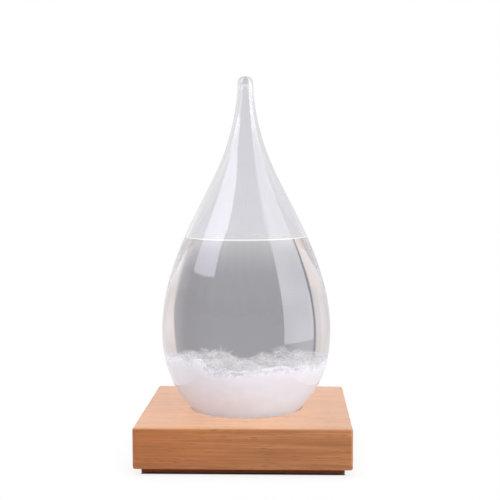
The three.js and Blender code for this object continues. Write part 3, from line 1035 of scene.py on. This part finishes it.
def socket_loops(top, z_top, radius, depth, ease):
    """Loops from the top face's outline in to a round socket with an eased lip."""
    count = len(top)
    first = math.atan2(top[0][1], top[0][0])
    step = 2 * math.pi / count

    def ring(r, z):
        return [(r * MM * math.cos(first + step * k), r * MM * math.sin(first + step * k), z)
                for k in range(count)]

    loops = []
    lip = ring(radius + ease, z_top)
    for t in (0.33, 0.66):
        loops.append([(a[0] * (1 - t) + b[0] * t, a[1] * (1 - t) + b[1] * t, z_top)
                      for a, b in zip(top, lip)])
    for k in range(5):
        angle = math.pi / 2 * k / 4
        loops.append(ring(radius + ease * (1 - math.sin(angle)),
                          z_top - ease * MM * (1 - math.cos(angle))))
    loops.append(ring(radius, z_top - depth * 0.5 * MM))
    loops.append(ring(radius, z_top - (depth - 0.4) * MM))
    loops.append(ring(radius - 0.4, z_top - depth * MM))
    loops.append(ring(radius * 0.5, z_top - depth * MM))
    return loops


def square_piece(name, cad_name, material, slot, corner, edge, socket=None):
    """A square slab with round corners and edges, filling its CAD box."""
    low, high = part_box(cad_name)
    half = (high.x - low.x) / 2 / MM

    def inset_loop(inset, z):
        return square_loop(half - inset, max(corner - inset, 0.25), z)

    quarter = [math.pi / 2 * k / 5 for k in range(6)]
    loops = [inset_loop(edge * (1 - math.sin(angle)), low.z + edge * MM * (1 - math.cos(angle)))
             for angle in quarter]
    for k in range(1, 5):
        z = low.z + edge * MM + (high.z - low.z - 2 * edge * MM) * k / 5
        loops.append(square_loop(half, corner, z))
    loops += [inset_loop(edge * (1 - math.cos(angle)),
                         high.z - edge * MM * (1 - math.sin(angle)))
              for angle in quarter]
    if socket:
        loops += socket_loops(loops[-1], high.z, *socket)

    count = len(loops[0])
    verts = [point for loop in loops for point in loop]
    faces = stitch([range(i * count, (i + 1) * count) for i in range(len(loops))], count)
    # each end is closed by a fan round its centre
    for loop in (loops[0], loops[-1]):
        verts.append(tuple(sum(point[i] for point in loop) / count for i in range(3)))
    first_centre, last = len(verts) - 2, (len(loops) - 1) * count
    faces += [(first_centre, (k + 1) % count, k) for k in range(count)]
    faces += [(first_centre + 1, last + k, last + (k + 1) % count) for k in range(count)]
    piece = new_mesh(name, verts, faces, material)
    register(piece, slot, "base", cad_name)
    return piece


def soft_disc(name, cad_name, material, slot, body, edge, rough, seed):
    """A disc with round edges and an uneven skin inside its CAD box; edge, rough in mm."""
    low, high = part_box(cad_name)
    centre = (low + high) / 2
    radius = (high.x - low.x) / 2 / MM
    thick = (high.z - low.z) / MM
    face_radii = [radius * k / 10 * 0.9 for k in range(10)]
    quarter = [math.pi / 2 * k / 6 for k in range(7)]
    profile = [(r, 0.0) for r in face_radii]
    profile += [(radius - edge + edge * math.sin(angle), edge - edge * math.cos(angle))
                for angle in quarter]
    profile += [(radius - edge + edge * math.cos(angle), thick - edge + edge * math.sin(angle))
                for angle in quarter]
    profile += [(r, thick) for r in reversed(face_radii)]
    smooth_verts, faces = turned(profile, 72, zero=low.z)
    verts = []
    for x, y, z in smooth_verts:
        bump = wave(x * 900, y * 900, z * 900 + seed) * rough * MM
        far = math.hypot(x, y)
        k = 1 - (rough * MM + bump) / max(far, radius * MM * 0.5) if far > 0 else 1
        sink = bump - rough * MM if z > low.z + thick * MM * 0.8 else 0
        verts.append((centre.x + x * k, centre.y + y * k, min(max(z + sink, low.z), high.z)))
    register(new_mesh(name, verts, faces, material), slot, body, cad_name)


block = square_piece("base_block_beech", "base_block", mat_beech, "beech", corner=1.6,
                     edge=1.0, socket=(SOCKET_R, SOCKET_DEPTH, SOCKET_EASE))
plate = square_piece("base_plate_beech", "base_plate", mat_beech_painted_shade, "beech_dark",
                     corner=1.2, edge=0.3)
for i, corner_name in enumerate(("front_left", "front_right", "back_left", "back_right")):
    soft_disc("felt_foot_" + corner_name, "foot_pad_" + corner_name, mat_felt, "felt", "base",
              edge=0.22, rough=0.06, seed=i * 3.7)
soft_disc("cork_seat", "seat_pad", mat_cork, "cork", "seat", edge=0.25, rough=0.08, seed=11.0)

# ------------------------------------------------------------------ camera
CAMERA_LENS = 74.907576                                 # mm, on a sensor 36 mm wide
CAMERA_PLACE = (0.02542872, -0.61525764, 0.133281)      # m, from the centre of the block's top
YAW, PITCH, ROLL = -0.0374387, 0.0647591, -0.00367044   # rad; pitch is downwards


def build_camera():
    lens = bpy.data.cameras.new("camera")
    lens.sensor_width = 36.0
    lens.lens = CAMERA_LENS
    lens.clip_start = 0.05
    lens.clip_end = 50.0
    camera = link_object("camera", lens)
    ahead = Vector((math.sin(YAW) * math.cos(PITCH), math.cos(YAW) * math.cos(PITCH),
                    -math.sin(PITCH)))
    level = Vector((math.cos(YAW), -math.sin(YAW), 0.0))
    upright = level.cross(ahead)
    right = math.cos(ROLL) * level + math.sin(ROLL) * upright
    above = -math.sin(ROLL) * level + math.cos(ROLL) * upright
    place = Vector(CAMERA_PLACE) + Vector((0, 0, Z_TOP))
    rows = [(right[i], above[i], -ahead[i], place[i]) for i in range(3)]
    camera.matrix_world = Matrix((*rows, (0, 0, 0, 1)))
    scene.camera = camera
    return camera


def build_rig(camera):
    """Turns the studio with the camera, as if the object stood on a turntable."""
    rig = link_object("studio_rig", None)
    track = rig.constraints.new("LOCKED_TRACK")
    track.target = camera
    track.track_axis = "TRACK_NEGATIVE_Y"
    track.lock_axis = "LOCK_Z"
    return rig


# ------------------------------------------------------------------ studio dome
# Angles in degrees: yaw is 0 behind the object and positive to the right, turn is its size
# without sign, rise is above the horizon. "Deep" rays have passed through the solution.
POWER_UNIT = 8.0        # softbox powers are kept in ramps as shares of this


def card_grey(value, blue=1.05):
    return value, value * 0.985, value * blue


def card_stops(*stops):
    """Ramp stops from (position, grey, share of blue)."""
    return [(position, card_grey(value, blue)) for position, value, blue in stops]


def air_card(net, yaw, rise, turn):
    """The card behind, read through the empty glass."""
    air = net.ramp(net.remap(rise, (-60, 60)), card_stops(
        (0.0, 0.70, 1.05), (0.35, 0.69, 1.05), (0.475, 0.715, 1.05), (0.55, 0.675, 1.05),
        (0.7, 0.70, 1.05), (0.76, 0.84, 1.02), (0.85, 0.96, 1.02), (1.0, 0.98, 1.02)))
    aside = net.times(net.remap(turn, (8.5, 21.0)), net.remap(rise, (9.0, 17.0), to=(1.0, 0.3)))
    aside = net.times(aside, net.remap(yaw, (-6, 6), to=(1.0, 0.6)))
    return net.mix(aside, air, (0.94, 0.925, 0.94))


def deep_card(net, yaw, rise, turn, air, wing_edge):
    """The card behind, read darker through the solution."""
    # rise as it is along one height of the card
    bow = net.math("POWER", net.math("DIVIDE", turn, 31.0), 2.0)
    level = net.plus(rise, net.times(bow, 5.0))
    wet = net.ramp(net.remap(level, (-60, 60)), card_stops(
        (0.0, 0.80, 1.0), (0.20, 0.84, 1.0), (0.26, 1.0, 1.0), (0.30, 0.78, 1.01),
        (0.335, 0.62, 1.02), (0.348, 0.505, 1.03), (0.352, 0.48, 1.035),
        (0.3625, 0.412, 1.04), (0.367, 0.388, 1.045), (0.375, 0.358, 1.05),
        (0.386, 0.347, 1.055), (0.40, 0.343, 1.055), (0.417, 0.331, 1.055),
        (0.474, 0.341, 1.055), (1.0, 0.345, 1.055)))
    low_left = net.times(net.remap(yaw, (-20, -15), to=(1.0, 0.0)), net.remap(rise, (-11, -6)))
    wet = net.mix(low_left, wet, net.tint(wet, 1.2))
    wet = net.mix(net.remap(rise, (0.0, 3.0)), wet, air)
    right = net.remap(yaw, (8.0, 26.0), smooth=True)
    wet = net.mix(right, wet, net.tint(wet, (0.90, 0.885, 0.885)))
    # a paler shoulder leads up to the wing on the right
    shoulder = net.ramp(net.remap(net.minus(yaw, wing_edge), (-14, 0)), [
        (0.0, 1.0), (0.33, (1.07, 1.06, 1.065)), (0.62, (1.20, 1.18, 1.19)),
        (0.85, (1.32, 1.27, 1.27)), (1.0, (1.36, 1.30, 1.30))])
    strength = net.times(net.remap(yaw, (18, 20)), net.remap(rise, (-24, -11), to=(1.0, 0.42)))
    return net.mix(strength, wet, net.tint(wet, shoulder))


def deep_wings(net, yaw, rise, turn):
    """The white wings beside the card, read through the solution."""
    height = (-30, 0)       # span of rise that the ramps cover
    middle = net.ramp(net.remap(rise, height), [
        (0.0, (1.0, 0.95, 0.95)), (0.25, (0.92, 0.86, 0.855)), (0.4, (0.90, 0.815, 0.81)),
        (0.6, (0.93, 0.835, 0.835)), (0.75, (0.945, 0.84, 0.85)), (0.9, (0.90, 0.80, 0.79)),
        (1.0, (0.87, 0.785, 0.77))])
    far = net.ramp(net.remap(rise, height), [
        (0.0, (1.08, 1.05, 1.05)), (0.12, (1.0, 0.965, 0.965)), (0.2, (0.88, 0.84, 0.84)),
        (0.3, (0.82, 0.76, 0.755)), (0.4, (0.76, 0.70, 0.69)), (0.65, (0.68, 0.645, 0.635)),
        (0.8, (0.74, 0.69, 0.685)), (0.92, (0.84, 0.785, 0.785)), (1.0, (0.88, 0.83, 0.83))])
    wings = net.mix(net.remap(turn, (49, 58), smooth=True), middle, far)
    left = net.ramp(net.remap(turn, (33, 50)), [
        (0.0, (0.69, 0.715, 0.715)), (0.35, (0.74, 0.755, 0.755)), (0.5, (0.84, 0.85, 0.85)),
        (0.65, (0.80, 0.81, 0.81)), (0.8, (0.755, 0.76, 0.76)), (1.0, 0.755)])
    left = net.mix(net.remap(rise, (-18, -15), to=(1.0, 0.0)), left, (0.875, 0.845, 0.84))
    right = net.ramp(net.remap(rise, height), [
        (0.0, 1.12), (0.13, 1.09), (0.2, 0.95), (0.42, (0.80, 0.785, 0.775)),
        (0.75, (0.86, 0.86, 0.865)), (0.9, (0.835, 0.83, 0.825)), (1.0, 0.77)])
    wings = net.mix(net.remap(yaw, (30, 33)), wings, net.tint(wings, right))
    on_left = net.remap(yaw, (-33, -30), to=(1.0, 0.0))
    return net.mix(on_left, wings, net.tint(wings, left))


def backdrop(net, yaw, rise, turn, deep):
    """Everything behind the object: the card, its wings and a thin dark line on the left."""
    air = air_card(net, yaw, rise, turn)
    # the right wing starts further out the lower one looks
    edge = net.curve(net.math("DIVIDE", net.plus(rise, 30.0), 30.0), [
        (0.0, 0.54), (0.10, 0.52), (0.2, 0.478), (0.333, 0.447), (0.433, 0.430),
        (0.583, 0.425), (0.733, 0.398), (0.867, 0.378), (1.0, 0.367)])
    wing_edge = net.times(edge, 90.0)
    card = net.mix(deep, air, deep_card(net, yaw, rise, turn, air, wing_edge))
    air_wings = net.ramp(net.remap(rise, (0.0, 60.0)), [
        (0.0, (0.94, 0.93, 0.94)), (0.09, (0.92, 0.91, 0.92)), (0.17, (0.80, 0.79, 0.805)),
        (0.25, (0.73, 0.725, 0.74)), (0.35, (0.74, 0.735, 0.75)), (0.5, (0.93, 0.92, 0.93)),
        (1.0, (1.0, 0.99, 0.99))])
    wings = net.mix(deep, air_wings, deep_wings(net, yaw, rise, turn))
    on_right = net.remap(yaw, (-1, 1))
    soft = net.remap(rise, (-26, -12), to=(4.6, 1.1))
    start = net.number_mix(on_right, 31.8, net.minus(wing_edge, soft))
    stop = net.number_mix(on_right, 33.2, net.plus(wing_edge, soft))
    span = (net.number_mix(deep, 26.0, start), net.number_mix(deep, 46.0, stop))
    behind = net.mix(net.remap(turn, span), card, wings)
    line = net.times(net.remap(yaw, (-32.6, -31.9)),
                     net.remap(yaw, (-30.4, -29.6), to=(1.0, 0.0)))
    return net.mix(net.times(net.times(line, 0.75), deep), behind, (0.17, 0.17, 0.19))


def between(net, value, low, high, soft, soft_high=None):
    """1 where value is between low and high, with soft ends."""
    soft_high = soft if soft_high is None else soft_high
    up = net.math("DIVIDE", net.plus(net.minus(value, low), soft), net.times(soft, 2.0),
                  clamp=True)
    down = net.math("DIVIDE", net.plus(net.minus(high, value), soft_high),
                    net.times(soft_high, 2.0), clamp=True)
    return net.times(up, down)


def add_softboxes(net, base, yaw, rise, turn, inner_ray):
    """Two tall softboxes in front and a dim panel below the right one.

    They show almost only in the glass's own outer sheen.
    """
    # steady along one height of the drop
    row = net.plus(rise, net.times(net.minus(128.0, turn), 0.2))

    def power_curve(*stops):
        """Power from (row, power) stops."""
        return net.curve(net.remap(row, (-20, 60)),
                         [((at + 20) / 80, power / POWER_UNIT) for at, power in stops])

    def glare(power, colour):
        strength = net.times(power, POWER_UNIT)
        return net.tint(net.join(strength, strength, strength), colour)

    left_edge = net.remap(rise, (39, 50), to=(-128.5, -138))
    left_inner = net.times(net.curve(net.remap(rise, (22, 38)), [
        (0.0, 0.88), (0.38, 0.86), (0.75, 0.84), (1.0, 0.83)]), -100.0)
    left_foot = net.plus(22.3, net.times(net.minus(turn, 90.0), 0.137))
    left = net.times(between(net, yaw, left_edge, left_inner, soft=0.7),
                     between(net, rise, left_foot, 80.0, soft=0.6))
    left_power = net.times(
        power_curve((-20, 6.0), (30, 6.0), (33, 5.6), (38, 4.9), (42, 5.7), (45, 6.0),
                    (60, 5.6)),
        net.remap(turn, (84, 112), to=(0.68, 1.0)))

    right_edge = net.remap(rise, (25, 50), to=(77.6, 78.2))
    right_soft = net.remap(rise, (36, 50), to=(0.7, 7.0))
    right_foot = net.remap(yaw, (85, 128), to=(-8.2, -9.9))
    right = net.times(between(net, yaw, right_edge, 128.5, soft=0.7, soft_high=right_soft),
                      between(net, rise, right_foot, 80.0, soft=0.6))
    near_power = power_curve((-20, 4.7), (0, 4.8), (12, 6.3), (22, 5.4), (30, 5.0), (37, 4.3),
                             (44, 6.4), (60, 7.2))
    right_power = net.times(
        power_curve((-20, 5.7), (0, 5.7), (12, 5.7), (22, 6.9), (30, 6.1), (37, 4.2),
                    (44, 3.6), (60, 3.7)),
        net.number_mix(net.remap(yaw, (84, 116)), near_power, 1.0))

    below = net.times(between(net, yaw, 78.2, 121.0, soft=0.7),
                      between(net, rise, -60.0, -8.2, soft=0.6))
    faint = net.number_mix(inner_ray, 1.0, 0.025)
    base = net.mix(net.times(below, faint), base, (1.3, 1.3, 1.4))
    left_colour = net.mix(net.remap(row, (36, 44)), (1.0, 0.965, 1.19), (1.0, 1.0, 1.11))
    base = net.mix(net.times(left, faint), base, glare(left_power, left_colour))
    return net.mix(net.times(right, faint), base, glare(right_power, (1.0, 0.995, 1.07)))


def dome_material():
    net = material_net("studio_dome")
    x, y, z = net.split(net.vmath("NORMALIZE", net.coords()))
    yaw = net.times(net.math("ARCTAN2", x, y), 180 / math.pi)
    rise = net.times(net.math("ARCSINE", z), 180 / math.pi)
    turn = net.math("ABSOLUTE", yaw)
    crossings = net.add("LightPath").outputs["Transmission Depth"]
    deep = net.math("GREATER_THAN", crossings, 4.5)
    inner_ray = net.math("GREATER_THAN", crossings, 0.5)
    behind = backdrop(net, yaw, rise, turn, deep)
    room = net.mix(net.remap(rise, (-40, 50)), (0.50, 0.49, 0.48), (0.58, 0.58, 0.61))
    deep_room = net.mix(net.remap(rise, (-25, -21), to=(1.0, 0.0)),
                        (0.76, 0.735, 0.735), (0.93, 0.90, 0.90))
    room = net.mix(deep, room, deep_room)
    base = net.mix(net.remap(turn, (78, 90)), behind, room)
    colour = add_softboxes(net, base, yaw, rise, turn, inner_ray)
    return net.finish(net.shader("Emission", Color=colour), is_lamp=False)


def build_dome(rig):
    """What glass and gloss see; it gives no soft light and the camera doesn't see it."""
    radius, around, steps = 3.0, 48, 24
    heights = [-math.pi / 2 + math.pi * i / steps for i in range(steps + 1)]
    profile = [(radius * math.cos(angle), radius * math.sin(angle)) for angle in heights]
    verts, faces = turned(profile, around, zero=0.0, unit=1.0)
    dome = new_mesh("studio_dome", verts, inside_out(faces), dome_material())
    dome.visible_camera = False
    dome.visible_diffuse = False
    dome.visible_shadow = False
    dome.visible_volume_scatter = False
    dome.parent = rig


# ------------------------------------------------------------------ lamps, world and floor
def soft_light(rig, name, place, size, power, colour=(1, 1, 1), aim=(0, 0, 0.08)):
    lamp = bpy.data.lights.new(name, "AREA")
    lamp.shape = "RECTANGLE"
    lamp.size, lamp.size_y = size
    lamp.energy = power
    lamp.color = colour
    light = link_object(name, lamp)
    light.location = place
    light.rotation_mode = "QUATERNION"
    light.rotation_quaternion = (Vector(aim) - Vector(place)).to_track_quat("-Z", "Y")
    light.parent = rig
    light.visible_camera = False
    light.visible_glossy = False
    light.visible_transmission = False
    return light


def light_group(name, pieces):
    group = bpy.data.collections.new(name)
    for piece in pieces:
        group.objects.link(piece)
    return group


def light_only(light, group):
    """The light falls on the group alone, and only the group shades it."""
    light.light_linking.receiver_collection = group
    light.light_linking.blocker_collection = group


def build_lights(rig):
    """Lamps of the studio; returns the group lit by the plain top light."""
    over = {"place": (0.0, 0.1, 1.3), "size": (1.6, 1.6)}
    top = soft_light(rig, "top_soft", power=17.0, **over)
    top_wood = soft_light(rig, "top_soft_wood", power=16.8, **over)
    soft_light(rig, "right_soft", (1.2, -0.7, 0.75), size=(0.9, 1.3), power=9.6)
    soft_light(rig, "left_soft", (-1.2, -0.7, 0.8), size=(0.8, 1.2), power=2.4)
    sheen = soft_light(rig, "back_sheen", (0.0, 2.2, 0.95), size=(3.2, 1.5), power=21.0,
                       colour=(1.0, 1.012, 0.93))
    sheen.visible_diffuse = False
    sheen.data.cycles.use_multiple_importance_sampling = False
    sheen.visible_glossy = True
    wood = light_group("lit_by_sheen", (block, plate))
    light_only(sheen, wood)
    light_only(top_wood, wood)      # the drop doesn't shade the wood from it
    not_wood = light_group("lit_by_top_soft", [
        piece for piece in scene.objects
        if piece.type == "MESH" and piece not in (block, plate)])
    top.light_linking.receiver_collection = not_wood
    lamps = [
        soft_light(rig, "crystal_soft", (1.15, -0.85, -0.16), size=(0.7, 0.6), power=4.1,
                   colour=(0.94, 0.985, 1.03), aim=(0, 0, 0.05)),
        soft_light(rig, "crystal_fill", (-1.15, -1.1, 0.02), size=(1.0, 0.8), power=2.6,
                   colour=(0.955, 0.98, 1.0), aim=(0, 0, 0.05)),
    ]
    white = light_group("lit_by_crystal_soft", crystals)
    for lamp in lamps:
        light_only(lamp, white)
    return not_wood


def build_world():
    """White to the camera, a cool fill to everything else."""
    scene.world = bpy.data.worlds.new("studio")
    net = Net(scene.world)
    seen = net.add("LightPath").outputs["Is Camera Ray"]
    fill = net.shader("Background", Color=(0.97, 0.98, 1.0), Strength=0.445)
    white = net.shader("Background", Color=1.0)
    net.add("OutputWorld", {"Surface": net.shade_mix(seen, fill, white)})


def floor_material():
    """Pale, fading into the white surround; painted near-black in the gap under the plate, a
    painted shadow.
    """
    net = material_net("floor")
    place = net.coords()
    across, along, _ = net.split(place)
    far = net.math("MAXIMUM", net.math("ABSOLUTE", across), net.math("ABSOLUTE", along))
    gap_edge = (0.0556, 0.0562)
    grain = net.noise(place, scale=300, detail=3, rough=0.6)
    # painted shadow: the floor is near-black inside the gap under the plate
    colour = net.mix(net.remap(far, gap_edge), (0.10, 0.085, 0.075),
                     net.mix(grain, 0.83, 0.86))
    body = net.principled(Base_Color=colour, Roughness=0.8)
    white = net.shader("Emission", Color=1.0)
    fade = net.times(net.remap(far, (0.054, 0.090), to=(0.82, 1.0), smooth=True),
                     net.remap(far, gap_edge))
    fade = net.times(fade, net.add("LightPath").outputs["Is Camera Ray"])
    return net.finish(net.shade_mix(fade, body, white))


def build_floor():
    radii = [0.0, 0.05, 0.1, 0.16, 0.25, 0.4, 0.7, 1.2, 2.0]
    verts, faces = turned([(r, 0.0) for r in radii], 64, zero=0.0, unit=1.0)
    floor = new_mesh("floor", verts, inside_out(faces), floor_material())
    floor.visible_glossy = False
    floor.visible_transmission = False
    return floor


camera = build_camera()
scene.view_settings.view_transform = "Standard"
scene.view_settings.look = "None"
rig = build_rig(camera)
build_dome(rig)
not_wood = build_lights(rig)
build_world()
floor = build_floor()
not_wood.objects.link(floor)

scene.cycles.max_bounces = 28
scene.cycles.transmission_bounces = 24
scene.cycles.transparent_max_bounces = 48
scene.cycles.glossy_bounces = 24
scene.cycles.diffuse_bounces = 5
scene.cycles.sample_clamp_indirect = 4.0
scene.cycles.use_denoising = True
